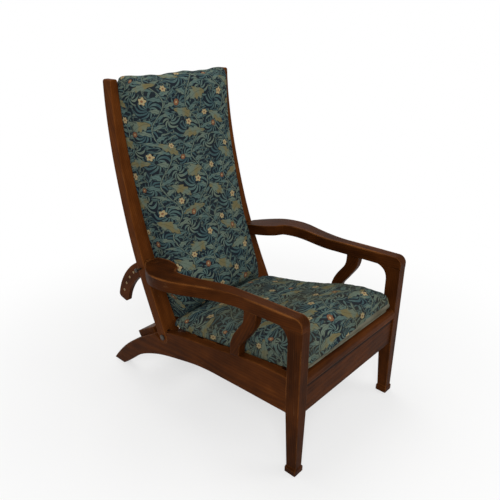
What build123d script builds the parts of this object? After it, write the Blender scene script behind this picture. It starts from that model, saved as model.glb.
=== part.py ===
from build123d import *
import os
from math import atan2, cos, degrees, radians, sin

# A reclining armchair with a wooden frame. X is across the chair, Y runs from front to back and Z is up.
# Every Y below is measured from the front of the front feet; the finished part is centred on its depth.

# Overall sizes
overall_depth = 991.0
foot_span = 618.0
running_gap = 0.5
soft_gap = 0.3
joint_gap = 0.2
overrun = 60.0

# Front posts and feet
post_width = 41.0
post_depth = 50.0
post_inset = 5.0
post_setback = 2.0
leg_end_width = 32.0
leg_end_depth = 39.0
foot_side = 43.0
foot_height = 21.0
foot_chamfer = 3.0
foot_flare = 7.0
ear_reach = 44.0
ear_drop = 56.0
post_tenon_width = 20.0
post_tenon_depth = 26.0
post_tenon_height = 26.0
post_edge_round = 2.0

# Side rails
rail_thickness = 30.0
rail_below_seat = 15.0
rear_foot_length = 66.0
rail_tenon_length = 28.0
rail_tenon_height = 80.0
rail_tenon_thickness = 12.0
rail_edge_round = 2.0
rail_top_shares = [(0, 1), (0.217, 0.956), (0.413, 0.861), (0.5985, 0.768), (0.69, 0.656),
                   (0.77, 0.533), (0.871, 0.35), (0.956, 0.137), (1, 0)]
rail_bottom_shares = [(0, 1), (0.17, 0.974), (0.33, 0.949), (0.447, 0.915), (0.574, 0.816),
                      (0.71, 0.679), (0.785, 0.568), (0.863, 0.41), (0.925, 0.222), (1, 0)]

# Arms
arm_thickness = 43.0
arm_front_top = 584.0
arm_drop = 52.0
arm_front_width = 38.0
arm_bow = 70.0
arm_corner_round = 27.0
arm_drop_shares = [(0, 0), (0.25, 0.12), (0.5, 0.29), (0.75, 0.55), (1, 1)]
arm_outer_shares = [(0.34, 0), (0.463, 0.21), (0.559, 0.51), (0.669, 0.89), (0.765, 1), (0.847, 0.89),
                    (0.905, 0.59), (0.961, 0.2), (1, -0.14)]
arm_waist_shares = [(0.38, 0), (0.463, 0.05), (0.559, 0.27), (0.64, 0.45), (0.71, 0.5), (0.765, 0.42)]
arm_paddle_shares = [(0.79, 0.05), (0.85, -0.28), (0.92, -0.42), (1, -0.42)]

# Struts between arm and side rail
strut_top = 178.0
strut_top_width = 50.0
strut_sweep = 73.0
strut_front_shares = [(0, 1), (0.014, 0.827), (0.07, 0.75), (0.3, 0.625), (0.534, 0.528), (0.726, 0.45),
                      (0.93, 0.361), (0.99, 0.29), (1, 0.155), (1, 0)]
strut_rear_shares = [(0.03, 1), (0.027, 0.847), (0.11, 0.714), (0.247, 0.652), (0.466, 0.567), (0.658, 0.478),
                     (0.795, 0.388), (0.863, 0.315), (0.87, 0.179), (0.87, 0)]
strut_foot_share = 0.93
strut_root = 41.0
strut_tenon_width = 26.0
strut_tenon_height = 16.0
strut_edge_round = 2.0
strut_tenon_thickness = 12.0

# Reclining back: pivot, posts and their taper
pivot_run_share = 0.63365
pivot_height_share = 0.68033
back_run = 240.0
back_rise = 916.0
back_line_shares = [(0, 0), (0.246, 0.14), (0.517, 0.318), (0.767, 0.547), (0.94, 0.776), (1, 1)]
back_line_stations_share = [0, 0.12, 0.25, 0.4, 0.55, 0.7, 0.85, 1]
back_foot_angle = 27.0
back_top_angle = 1.0
back_post_depth = 46.0
back_post_foot_width = 68.0
back_post_outer_taper = 22.0
back_post_inner_taper = 17.0
back_post_edge_round = 2.5
back_post_top_round = 9.0
recline_angle = 44.0

# Horns, their holes and the adjusting pins
horn_thickness = 19.0
horn_set_in = 19.0
horn_width = 55.5
horn_over_arm = 3.7
horn_start_angle = 16.8
horn_end_angle = 77.0
horn_tip_round = 14.0
horn_tenon_angle = 8.0
horn_tenon_inset = 12.0
hole_inset = 29.5
hole_first_angle = 23.4
hole_count = 6
bush_outer_diameter = 9.0
pin_diameter = 6.86
pin_clearance = 0.07
pin_head_diameter = 15.0
pin_head_thickness = 7.0
pin_stand_off = 5.0
pin_travel = 15.0

# Pivot bolts
bolt_diameter = 10.0
bolt_clearance = 0.08
rail_bore_clearance = 0.05
bolt_head_diameter = 22.0
bolt_head_thickness = 5.0
nut_across_flats = 17.0
nut_thickness = 8.0
cheek_thickness = 14.5
rail_clear_over_top = 3.5

# Cross rails and seat
front_rail_set_in = 8.0
front_rail_thickness = 26.0
front_rail_depth = 106.0
cross_tenon_length = 14.0
lip_set_in = 2.0
lip_depth = 58.0
lip_height = 41.0
lip_front_round = 16.0
lip_lower_round = 7.0
seat_front_height = 381.0
seat_slope = 8.4
seat_rear_clearance = 12.0
bearer_thickness = 24.0
bearer_depth = 34.0
seat_slat_count = 5
seat_slat_width = 60.0
slat_thickness = 12.0
slat_end_gap = 1.0
seat_rear_rail_depth = 30.0
seat_rear_rail_thickness = 24.0
cross_rail_behind_pivot = 101.0
cross_rail_below_pivot = 11.0
cross_rail_length = 112.0
cross_rail_thickness = 33.0
cross_rail_slope = 31.0
cross_rib_count = 4
cross_groove_width = 5.0
cross_groove_depth = 2.5
corner_block_side = 45.0

# Back rails
back_rail_thickness = 18.0
back_rail_width = 62.0
back_plane_ahead = 3.5
back_slat_width = 48.0
back_slat_thickness = 12.0
back_slat_count = 5
back_tenon_length = 12.0
back_top_rail_share = 0.95
back_bottom_rail_share = 0.15

# Cushions
seat_cushion_front = 12.0
seat_cushion_overhang = 10.0
seat_cushion_height = 76.0
seat_cushion_crown = 20.0
seat_cushion_side_gap = 2.0
back_cushion_depth = 72.0
back_cushion_crown = 20.0
back_cushion_side_gap = 3.0
back_cushion_rear_gap = 0.75
back_cushion_start_share = 0.058
back_cushion_end_share = 1.007

# Cushion sections: place along, half width, edge height, crown and lift of the lower side
seat_cushion_shares = [(0, 0.95, 0.42, 0.2, 0.3), (0.015, 0.985, 0.84, 0.6, 0.08), (0.06, 1, 1, 0.9, 0),
                       (0.15, 1.015, 1, 1, 0), (0.26, 1.025, 0.93, 1, 0), (0.47, 1.025, 0.67, 1, 0),
                       (0.7, 1.02, 0.49, 1, 0), (0.88, 1, 0.44, 0.8, 0), (0.96, 0.965, 0.38, 0.5, 0.02),
                       (1, 0.92, 0.24, 0.1, 0.08)]
back_cushion_shares = [(0, 0.86, 0.36, 0.1, 0.3), (0.02, 0.905, 0.72, 0.5, 0.1), (0.07, 0.925, 0.96, 0.9, 0),
                       (0.15, 0.93, 1, 1, 0), (0.29, 0.93, 1, 1, 0), (0.4, 0.932, 1, 1, 0),
                       (0.52, 0.936, 1, 1, 0), (0.64, 0.94, 1, 1, 0), (0.75, 0.942, 1, 1, 0),
                       (0.84, 0.95, 1, 1, 0), (0.92, 0.963, 0.98, 0.9, 0), (0.975, 0.98, 0.76, 0.5, 0.08),
                       (1, 0.955, 0.36, 0.1, 0.3)]
cushion_draw_share = 0.16
cushion_bow_share = 0.25

# Worked out from the sizes above
outer_x = foot_span / 2 - post_inset
post_inner_x = outer_x - post_width
rail_inner_x = outer_x - rail_thickness
arm_inner_x = outer_x - arm_front_width
post_back_y = post_setback + post_depth
rail_run = overall_depth - post_back_y
rail_front_top = seat_front_height - rail_below_seat
front_rail_top = seat_front_height - lip_height
rail_front_bottom = front_rail_top - front_rail_depth
arm_bottom_z = arm_front_top - arm_thickness
pivot_y = post_back_y + pivot_run_share * rail_run
pivot_z = pivot_height_share * rail_front_top
horn_outer_x = outer_x - horn_set_in
horn_inner_x = horn_outer_x - horn_thickness
horn_outer_radius = (arm_front_top - arm_drop + horn_over_arm - pivot_z) / cos(radians(horn_start_angle))
horn_inner_radius = horn_outer_radius - horn_width
hole_radius = horn_inner_radius + hole_inset
hole_pitch = recline_angle / (hole_count - 1)
arm_tip_y = pivot_y + horn_outer_radius * sin(radians(horn_start_angle))
arm_length = arm_tip_y - post_setback
seat_rear = pivot_y - back_post_depth / 2 - seat_rear_clearance
seat_half_width = post_inner_x - seat_cushion_side_gap
cross_rail_front = pivot_y + cross_rail_behind_pivot
cross_rail_top = pivot_z - cross_rail_below_pivot


def side_face(x, *runs):
    """Closed face at one x; a run of two (y, z) points is a straight line, a longer run a smooth curve."""
    edges = []
    for run in runs:
        points = [(x, y, z) for y, z in run]
        edges.append(Line(*points) if len(points) == 2 else Spline(*points))
    return Face(Wire(edges))


def side_plate(x, thickness, *runs):
    """Plate that lies in the side view and runs from x towards +X by its thickness."""
    return extrude(side_face(x, *runs), thickness, dir=(1, 0, 0))


def block(x0, x1, y0, y1, z0, z1, grow=0):
    """Plain box between two corners, grown on every side where it cuts a mortise."""
    size = [abs(high - low) + 2 * grow for low, high in ((x0, x1), (y0, y1), (z0, z1))]
    return Pos((x0 + x1) / 2, (y0 + y1) / 2, (z0 + z1) / 2) * Box(*size)


def rod_along_x(x0, x1, y, z, diameter):
    """Round rod across the chair."""
    return Pos((x0 + x1) / 2, y, z) * Rot(0, 90, 0) * Cylinder(diameter / 2, abs(x1 - x0))


def from_pivot(radius, angle):
    """Point in the side view at an angle behind the upright line through the pivot."""
    return (pivot_y + radius * sin(radians(angle)), pivot_z + radius * cos(radians(angle)))


def arc_band(x0, x1, inner_radius, outer_radius, angle0, angle1):
    """Part of a flat ring about the pivot."""
    middle = (angle0 + angle1) / 2

    def at(radius, angle):
        return (x0, *from_pivot(radius, angle))

    edges = [
        Line(at(inner_radius, angle0), at(outer_radius, angle0)),
        ThreePointArc(at(outer_radius, angle0), at(outer_radius, middle), at(outer_radius, angle1)),
        Line(at(outer_radius, angle1), at(inner_radius, angle1)),
        ThreePointArc(at(inner_radius, angle1), at(inner_radius, middle), at(inner_radius, angle0)),
    ]
    return extrude(Face(Wire(edges)), x1 - x0, dir=(1, 0, 0))


def from_shares(shares, y0, run, z0, rise):
    """Outline points whose shares are measured along a run and a rise."""
    return [(y0 + y_share * run, z0 + z_share * rise) for y_share, z_share in shares]


def both_sides(name, shape):
    """The same piece for the left side, as modelled, and mirrored for the right side."""
    parts[name + "_left"] = shape
    parts[name + "_right"] = mirror(shape, about=Plane.YZ)


def seat_height(y):
    """Height of the seat plane, which slopes down to the rear."""
    return seat_front_height - y * sin(radians(seat_slope)) / cos(radians(seat_slope))


def level_at(place, shares):
    """Share of a height at a place along an outline's shares, straight between its points."""
    spans = [span for span in zip(shares, shares[1:]) if span[0][0] <= place] or [shares[:2]]
    (place0, level0), (place1, level1) = spans[-1]
    return level0 + (level1 - level0) * (place - place0) / (place1 - place0)


def arm_top_at(y):
    return arm_front_top - arm_drop * level_at((y - post_setback) / arm_length, arm_drop_shares)


def rail_top_at(y):
    return rail_front_top * level_at((y - post_back_y) / rail_run, rail_top_shares)


# Side rail with its splayed rear foot
def side_rail_plate():
    top = from_shares(rail_top_shares, post_back_y, rail_run, 0, rail_front_top)
    heel_y = overall_depth - rear_foot_length
    bottom = from_shares(rail_bottom_shares, post_back_y, heel_y - post_back_y, 0, rail_front_bottom)
    plate = side_plate(-outer_x, rail_thickness, top, [top[-1], bottom[-1]], bottom[::-1], [bottom[0], top[0]])
    return fillet(plate.edges().filter_by(GeomType.BSPLINE), rail_edge_round)


def rail_tenon(grow=0):
    middle = (rail_front_top + rail_front_bottom) / 2
    centre = -outer_x + rail_thickness / 2
    return block(centre - rail_tenon_thickness / 2, centre + rail_tenon_thickness / 2,
                 post_back_y - rail_tenon_length, post_back_y,
                 middle - rail_tenon_height / 2, middle + rail_tenon_height / 2, grow)


def side_rail():
    body = side_rail_plate() + rail_tenon() - swept_recess() - strut_foot_tenon(joint_gap)
    bore = bolt_diameter + 2 * rail_bore_clearance
    return body - rod_along_x(-outer_x - overrun, 0, pivot_y, pivot_z, bore)


# Front post with the ear under the arm, the tapered leg and the spade foot
def front_post_body():
    ear_tip_y = post_back_y + ear_reach
    ear_start_z = arm_bottom_z - ear_drop
    ear_waist = (post_back_y + ear_reach / 4, arm_bottom_z - ear_drop / 3)
    upright = side_plate(-outer_x, post_width,
                         [(post_setback, rail_front_bottom), (post_setback, arm_bottom_z)],
                         [(post_setback, arm_bottom_z), (ear_tip_y, arm_bottom_z)],
                         [(ear_tip_y, arm_bottom_z), ear_waist, (post_back_y, ear_start_z)],
                         [(post_back_y, ear_start_z), (post_back_y, rail_front_bottom)],
                         [(post_back_y, rail_front_bottom), (post_setback, rail_front_bottom)])
    upright = fillet(upright.edges().filter_by(Axis.Z).sort_by(Axis.Y)[:2], post_edge_round)
    post_centre = (-outer_x + post_width / 2, post_setback + post_depth / 2)
    foot_centre = (-foot_span / 2 + foot_side / 2, foot_side / 2)
    leg_top = Pos(*post_centre, rail_front_bottom) * RectangleRounded(post_width, post_depth, post_edge_round)
    leg_end = Pos(*foot_centre, foot_height + foot_flare) * RectangleRounded(leg_end_width, leg_end_depth,
                                                                            post_edge_round)
    leg = loft([leg_end, leg_top])
    sole_side = foot_side - 2 * foot_chamfer
    sole = Pos(*foot_centre, 0) * RectangleRounded(sole_side, sole_side, post_edge_round)
    foot_low = Pos(*foot_centre, foot_chamfer) * RectangleRounded(foot_side, foot_side, post_edge_round)
    foot_top = Pos(*foot_centre, foot_height) * RectangleRounded(foot_side, foot_side, post_edge_round)
    foot = loft([sole, foot_low]) + loft([foot_low, foot_top]) + loft([foot_top, leg_end])
    return upright + leg + foot


def post_tenon(grow=0):
    centre_y = post_setback + post_depth / 2
    centre_x = -outer_x + arm_front_width / 2
    return block(centre_x - post_tenon_width / 2, centre_x + post_tenon_width / 2,
                 centre_y - post_tenon_depth / 2, centre_y + post_tenon_depth / 2,
                 arm_bottom_z - post_tenon_height / 2, arm_bottom_z + post_tenon_height, grow)


def front_post():
    body = front_post_body() - arm_body() + post_tenon()
    return body - rail_tenon(joint_gap) - front_rail_tenon(joint_gap)


# Arm: the bowed plan and the drooping side view meet in one solid
def arm_plan():
    def plan(shares, base_x):
        return [(-base_x - share_x * arm_bow, post_setback + share_y * arm_length, 0) for share_y, share_x in shares]

    outer = plan(arm_outer_shares, outer_x)
    waist = plan(arm_waist_shares, arm_inner_x)
    paddle = plan(arm_paddle_shares, arm_inner_x)
    front_outer = (-outer_x, post_setback, 0)
    front_inner = (-arm_inner_x, post_setback, 0)
    edges = [Line(front_outer, outer[0]), Spline(*outer), Line(outer[-1], paddle[-1]), Spline(*paddle[::-1]),
             Line(paddle[0], waist[-1]), Spline(*waist[::-1]), Line(waist[0], front_inner),
             Line(front_inner, front_outer)]
    return Face(Wire(edges))


def arm_body():
    top = from_shares(arm_drop_shares, post_setback, arm_length, arm_front_top, -arm_drop)
    bottom = [(y, z - arm_thickness) for y, z in top]
    wide = outer_x + arm_bow + overrun
    side = side_plate(-wide, wide, top, [top[-1], bottom[-1]], bottom[::-1], [bottom[0], top[0]])
    low = arm_bottom_z - arm_drop - overrun
    plan = extrude(Pos(0, 0, low) * arm_plan(), arm_front_top + overrun - low, dir=(0, 0, 1))
    body = side & plan
    corner = body.edges().filter_by(Axis.X).sort_by(Axis.Y)[:2].sort_by(Axis.Z)[-1]
    behind = arc_band(-wide, 0, horn_inner_radius / 2, horn_outer_radius + 2 * overrun, horn_start_angle,
                      horn_end_angle)
    return fillet(corner, arm_corner_round) - behind


def arm():
    return arm_body() - post_tenon(joint_gap) - strut_head_tenon(joint_gap) - horn_tenon(joint_gap)


# Strut between the arm and the side rail
def strut_foot_tenon(grow=0):
    centre_x = -outer_x + rail_thickness / 2
    centre_y = strut_top + strut_top_width / 2 + strut_sweep * strut_foot_share
    rail_top = rail_top_at(centre_y)
    return block(centre_x - strut_tenon_thickness / 2, centre_x + strut_tenon_thickness / 2,
                 centre_y - strut_tenon_width / 2, centre_y + strut_tenon_width / 2,
                 rail_top - strut_tenon_height, rail_top + strut_tenon_height, grow)


def strut_head_tenon(grow=0):
    centre_x = -outer_x + rail_thickness / 2
    centre_y = strut_top + strut_top_width / 2
    arm_under = arm_top_at(centre_y) - arm_thickness
    return block(centre_x - strut_tenon_thickness / 2, centre_x + strut_tenon_thickness / 2,
                 centre_y - strut_tenon_width / 2, centre_y + strut_tenon_width / 2,
                 arm_under - strut_tenon_height, arm_under + strut_tenon_height, grow)


def strut():
    foot_z = rail_top_at(strut_top + strut_top_width + strut_sweep) - strut_root
    rise = arm_top_at(strut_top) - arm_thickness / 2 - foot_z
    front = from_shares(strut_front_shares, strut_top, strut_sweep, foot_z, rise)
    rear = from_shares(strut_rear_shares, strut_top + strut_top_width, strut_sweep, foot_z, rise)
    plate = side_plate(-outer_x, rail_thickness, front, [front[-1], rear[-1]], rear[::-1], [rear[0], front[0]])
    plate = fillet(plate.edges().filter_by(GeomType.BSPLINE), strut_edge_round)
    return plate - arm_body() - side_rail_plate() + strut_foot_tenon() + strut_head_tenon()


# Horn behind the arm, concentric with the pivot of the back
def horn_tenon(grow=0):
    start = horn_start_angle - horn_tenon_angle - degrees(grow / horn_inner_radius)
    return arc_band(-horn_outer_x - grow, -horn_inner_x + grow, horn_inner_radius + horn_tenon_inset - grow,
                    horn_outer_radius - horn_tenon_inset + grow, start, horn_start_angle)


def horn():
    band = arc_band(-horn_outer_x, -horn_inner_x, horn_inner_radius, horn_outer_radius,
                    horn_start_angle, horn_end_angle)
    tip_edges = band.edges().filter_by(Axis.X).sort_by(Axis.Z)[:2]
    body = fillet(tip_edges, horn_tip_round) + horn_tenon()
    for y, z in hole_places():
        body -= rod_along_x(-horn_outer_x - overrun, -horn_inner_x + overrun, y, z, bush_outer_diameter)
    return body


def horn_bushes():
    bore = pin_diameter + 2 * pin_clearance
    rings = [rod_along_x(-horn_outer_x, -horn_inner_x, y, z, bush_outer_diameter)
             - rod_along_x(-horn_outer_x - overrun, -horn_inner_x + overrun, y, z, bore)
             for y, z in hole_places()]
    return Compound(rings)


# Adjusting pin, drawn at rest with its point just clear of the horn
def adjusting_pin():
    y, z = hole_places()[0]
    point = -horn_outer_x - running_gap
    post_face = -outer_x + back_post_outer_taper * (z - pivot_z) / back_rise
    head_x = post_face - pin_travel - pin_stand_off
    shank = rod_along_x(head_x, point, y, z, pin_diameter)
    head = rod_along_x(head_x - pin_head_thickness, head_x, y, z, pin_head_diameter)
    return shank + fillet(head.edges().sort_by(Axis.X)[0], pin_head_thickness / 3)


def hole_places():
    return [from_pivot(hole_radius, hole_first_angle + number * hole_pitch) for number in range(hole_count)]


# Back posts
def back_centre_line():
    points = [(pivot_y + run * back_run, pivot_z + rise * back_rise) for run, rise in back_line_shares]
    foot_dir = (0, sin(radians(back_foot_angle)), cos(radians(back_foot_angle)))
    top_dir = (0, sin(radians(back_top_angle)), cos(radians(back_top_angle)))
    return Spline(*[(0, y, z) for y, z in points], tangents=[foot_dir, top_dir])


def along_back(share):
    """Place and direction on the centre line of the back, in the side view."""
    line = back_centre_line()
    place, ahead = line.position_at(share), line.tangent_at(share)
    return place.Y, place.Z, ahead.Y, ahead.Z


def back_offset(share, distance):
    """Point beside the centre line; a positive distance is towards the front."""
    y, z, ahead_y, ahead_z = along_back(share)
    return (y - ahead_z * distance, z + ahead_y * distance)


def post_inner_at(z):
    """Half gap between the back posts at a height."""
    return outer_x - back_post_foot_width + back_post_inner_taper * (z - pivot_z) / back_rise


def back_post_side(x, thickness):
    half = back_post_depth / 2
    front = [back_offset(share, half) for share in back_line_stations_share]
    rear = [back_offset(share, -half) for share in back_line_stations_share]
    y, z, ahead_y, ahead_z = along_back(0)
    edges = [Spline(*[(x, *point) for point in front]), Line((x, *front[-1]), (x, *rear[-1])),
             Spline(*[(x, *point) for point in rear]),
             ThreePointArc((x, *rear[0]), (x, y - ahead_y * half, z - ahead_z * half), (x, *front[0]))]
    return extrude(Face(Wire(edges)), thickness, dir=(1, 0, 0))


def back_post_taper():
    low, high = pivot_z - overrun, pivot_z + back_rise + overrun
    rise_share = (high - pivot_z) / back_rise
    outer_foot, outer_top = -outer_x, -outer_x + back_post_outer_taper * rise_share
    inner_foot = -outer_x + back_post_foot_width
    inner_top = inner_foot - back_post_inner_taper * rise_share
    points = [(outer_foot, 0, low), (outer_foot, 0, pivot_z), (outer_top, 0, high),
              (inner_top, 0, high), (inner_foot, 0, pivot_z), (inner_foot, 0, low)]
    return extrude(Face(Wire(Polyline(*points, close=True))), overall_depth + overrun, dir=(0, 1, 0))


def swept_recess():
    """Room in the outer half of the side rail for the foot of the back post, over the whole recline."""
    half = back_post_depth / 2 + running_gap
    reach = back_post_depth * 4

    def beside(angle, distance, along):
        ahead = (sin(radians(angle)), cos(radians(angle)))
        return (pivot_y + along * ahead[0] - distance * ahead[1], pivot_z + along * ahead[1] + distance * ahead[0])

    last = back_foot_angle + recline_angle
    corners = [beside(back_foot_angle, half, 0), beside(back_foot_angle, half, reach),
               beside(last, -half, reach), beside(last, -half, 0), (pivot_y, pivot_z)]
    depth = cheek_thickness + running_gap
    wedge = extrude(Face(Wire(Polyline(*[(-outer_x, *corner) for corner in corners], close=True))), depth,
                    dir=(1, 0, 0))
    return wedge + rod_along_x(-outer_x, -outer_x + depth, pivot_y, pivot_z, 2 * half)


def rail_top_over_pivot():
    """Slope of the side rail's top above the pivot, and its distance from the pivot."""
    low, high = rail_top_at(pivot_y + back_post_depth), rail_top_at(pivot_y - back_post_depth)
    slope = atan2(high - low, 2 * back_post_depth)
    return degrees(slope), ((high + low) / 2 - pivot_z) * cos(slope)


def rail_slot():
    """Slot in the foot of the back post for the inner half of the side rail, clear of its top at every angle."""
    half = back_post_depth / 2 + running_gap
    slope, over = rail_top_over_pivot()
    over += rail_clear_over_top
    rear_lean = radians(back_foot_angle - slope + recline_angle)
    front_up = over
    rear_up = (over + half * sin(rear_lean)) / cos(rear_lean)
    ahead = (sin(radians(back_foot_angle)), cos(radians(back_foot_angle)))

    def at(up, forward):
        return (pivot_y + up * ahead[0] - forward * ahead[1], pivot_z + up * ahead[1] + forward * ahead[0])

    wide = 2 * half
    gain = (rear_up - front_up) / 2
    corners = [at(front_up - gain / 2, wide), at(rear_up + gain / 2, -wide), at(-wide, -wide), at(-wide, wide)]
    x = -outer_x + cheek_thickness + running_gap / 2
    return extrude(Face(Wire(Polyline(*[(x, *corner) for corner in corners], close=True))),
                   rail_thickness - cheek_thickness + running_gap / 2, dir=(1, 0, 0))


def horn_slot():
    """Ring about the pivot that the back post leaves open for the horn."""
    ring = rod_along_x(-horn_outer_x - running_gap, -horn_inner_x + running_gap, pivot_y, pivot_z,
                       2 * (horn_outer_radius + running_gap))
    return ring - rod_along_x(-horn_outer_x - overrun, -horn_inner_x + overrun, pivot_y, pivot_z,
                              2 * (horn_inner_radius - running_gap))


def back_post_body():
    body = back_post_side(-outer_x, back_post_foot_width) & back_post_taper()
    top_corners = body.faces().sort_by(Axis.Z)[-1].edges().sort_by(SortBy.LENGTH)[-2:]
    body = fillet(top_corners, back_post_top_round)
    long_edges = [edge for edge in body.edges() if edge.length > back_rise / 2]
    return fillet(long_edges, back_post_edge_round)


def back_post():
    body = back_post_body() - rail_slot() - horn_slot()
    body -= rod_along_x(-outer_x - overrun, 0, pivot_y, pivot_z, bolt_diameter + 2 * bolt_clearance)
    hole_y, hole_z = hole_places()[0]
    body -= rod_along_x(-outer_x - overrun, -horn_outer_x, hole_y, hole_z, pin_diameter + 2 * pin_clearance)
    for sizes in back_boards().values():
        body -= back_board(*sizes, joint_gap)
    return body


# Boards across the back, square to its centre line and let into the posts
def back_board(share, width, thickness, grow=0):
    y, z, ahead_y, ahead_z = along_back(share)
    length = 2 * (post_inner_at(z) + back_tenon_length)
    centre_y, centre_z = back_offset(share, back_plane_ahead - thickness / 2)
    lean = degrees(atan2(ahead_y, ahead_z))
    board = Box(length + 2 * grow, thickness + 2 * grow, width + 2 * grow)
    return Pos(0, centre_y, centre_z) * Rot(-lean, 0, 0) * board


def back_boards():
    boards = {"back_bottom_rail": (back_bottom_rail_share, back_rail_width, back_rail_thickness)}
    step = (back_top_rail_share - back_bottom_rail_share) / (back_slat_count + 1)
    for number in range(1, back_slat_count + 1):
        share = back_bottom_rail_share + number * step
        boards[f"back_slat_{number}"] = (share, back_slat_width, back_slat_thickness)
    boards["back_top_rail"] = (back_top_rail_share, back_rail_width, back_rail_thickness)
    return boards


# Bolts and nuts of the pivots
def pivot_bolt():
    head_x = -outer_x - soft_gap
    nut_x = -outer_x + back_post_foot_width + soft_gap
    shank = rod_along_x(head_x, nut_x + nut_thickness, pivot_y, pivot_z, bolt_diameter)
    head = rod_along_x(head_x - bolt_head_thickness, head_x, pivot_y, pivot_z, bolt_head_diameter)
    return shank + fillet(head.edges().sort_by(Axis.X)[0], bolt_head_thickness / 2)


def pivot_nut():
    nut_x = -outer_x + back_post_foot_width + soft_gap
    hexagon = RegularPolygon(nut_across_flats / 2, 6, major_radius=False)
    nut = Pos(nut_x, pivot_y, pivot_z) * Rot(0, 90, 0) * extrude(hexagon, nut_thickness)
    return nut - rod_along_x(nut_x - overrun, nut_x + overrun, pivot_y, pivot_z, bolt_diameter)


# Cross pieces and seat
def front_rail_tenon(grow=0):
    reach = post_inner_x + cross_tenon_length
    shoulder = front_rail_thickness / 4
    return block(-reach, reach, front_rail_set_in + shoulder, front_rail_set_in + front_rail_thickness - shoulder,
                 rail_front_bottom + 2 * shoulder, front_rail_top - 2 * shoulder, grow)


def front_rail():
    board = block(-post_inner_x, post_inner_x, front_rail_set_in, front_rail_set_in + front_rail_thickness,
                  rail_front_bottom, front_rail_top)
    lower_front = board.edges().filter_by(Axis.X).sort_by(Axis.Z)[:2].sort_by(Axis.Y)[0]
    return fillet(lower_front, post_edge_round) + front_rail_tenon()


def seat_lip():
    rear = lip_set_in + lip_depth
    points = [(lip_set_in, front_rail_top), (rear, front_rail_top), (rear, seat_height(rear)),
              (lip_set_in, seat_height(lip_set_in))]
    face = Face(Wire(Polyline(*[(-post_inner_x, *point) for point in points], close=True)))
    body = extrude(face, 2 * post_inner_x, dir=(1, 0, 0))
    front_edges = body.edges().filter_by(Axis.X).sort_by(Axis.Y)[:2].sort_by(Axis.Z)
    body = fillet(front_edges[0], lip_lower_round)
    top_edge = body.edges().filter_by(Axis.X).sort_by(Axis.Z)[-1]
    return fillet(top_edge, lip_front_round)


def sloped_bar(x0, x1, y0, y1, below, thickness):
    """Bar between two depths whose top lies a step below the seat plane."""
    points = [(y0, seat_height(y0) - below), (y1, seat_height(y1) - below),
              (y1, seat_height(y1) - below - thickness), (y0, seat_height(y0) - below - thickness)]
    face = Face(Wire(Polyline(*[(x0, *point) for point in points], close=True)))
    return extrude(face, x1 - x0, dir=(1, 0, 0))


def seat_slats():
    front = lip_set_in + lip_depth
    rear = seat_rear - seat_rear_rail_thickness
    space = (rear - front - seat_slat_count * seat_slat_width) / (seat_slat_count + 1)
    reach = rail_inner_x - slat_end_gap
    slats = []
    for number in range(seat_slat_count):
        start = front + space + number * (seat_slat_width + space)
        slats.append(sloped_bar(-reach, reach, start, start + seat_slat_width, 0, slat_thickness))
    return slats


def seat_bearer():
    front = lip_set_in + lip_depth
    rear = seat_rear - seat_rear_rail_thickness
    return sloped_bar(-rail_inner_x, -rail_inner_x + bearer_thickness, front, rear, slat_thickness, bearer_depth)


def seat_rear_rail():
    return sloped_bar(-rail_inner_x, rail_inner_x, seat_rear - seat_rear_rail_thickness, seat_rear, slat_thickness,
                      seat_rear_rail_depth)


def rear_cross_rail():
    length = 2 * rail_inner_x
    board = Box(length, cross_rail_length, cross_rail_thickness)
    for number in range(1, cross_rib_count + 1):
        along = cross_rail_length * (number / (cross_rib_count + 1) - 1 / 2)
        groove = Box(length, cross_groove_width, 2 * cross_groove_depth)
        board -= Pos(0, along, cross_rail_thickness / 2) * groove
    slope = radians(cross_rail_slope)
    centre_y = cross_rail_front + cross_rail_length / 2 * cos(slope) - cross_rail_thickness / 2 * sin(slope)
    centre_z = cross_rail_top - cross_rail_length / 2 * sin(slope) - cross_rail_thickness / 2 * cos(slope)
    return Pos(0, centre_y, centre_z) * Rot(-cross_rail_slope, 0, 0) * board


def corner_block():
    rear = front_rail_set_in + front_rail_thickness
    high = seat_height(rear) - slat_thickness - bearer_depth - corner_block_side / 4
    face = Polyline((-post_inner_x, rear, high), (-post_inner_x + corner_block_side, rear, high),
                    (-post_inner_x, rear + corner_block_side, high), close=True)
    return extrude(Face(Wire(face)), corner_block_side, dir=(0, 0, -1))


# Cushions: crowned sections joined by one smooth skin
def cushion_section(place, ahead, half_width, edge_height, crown):
    """Section square to the direction ahead: flat below, drawn in towards its top edges and crowned."""
    y, z = place
    ahead_y, ahead_z = ahead
    draw = cushion_draw_share * edge_height
    edge = half_width - draw
    bow = half_width - cushion_bow_share * draw
    plane = Plane(origin=(0, y, z), x_dir=(1, 0, 0), z_dir=(0, -ahead_y, -ahead_z))
    outline = [
        Line((-half_width, 0), (half_width, 0)),
        ThreePointArc((half_width, 0), (bow, edge_height / 2), (edge, edge_height)),
        ThreePointArc((edge, edge_height), (0, edge_height + crown), (-edge, edge_height)),
        ThreePointArc((-edge, edge_height), (-bow, edge_height / 2), (-half_width, 0)),
    ]
    return plane * make_face(outline)


def seat_cushion():
    slope = radians(seat_slope)
    length = seat_rear + seat_cushion_overhang - seat_cushion_front
    sections = []
    for along, wide, high, crown, lift in seat_cushion_shares:
        y = seat_cushion_front + along * length
        raised = soft_gap + lift * seat_cushion_height
        place = (y + raised * sin(slope), seat_height(y) + raised * cos(slope))
        sections.append(cushion_section(place, (cos(slope), -sin(slope)), wide * seat_half_width,
                                        high * seat_cushion_height, crown * seat_cushion_crown))
    below = sloped_bar(-outer_x, outer_x, -overrun, overall_depth, -soft_gap, seat_cushion_height)
    return loft(sections) - below


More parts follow.
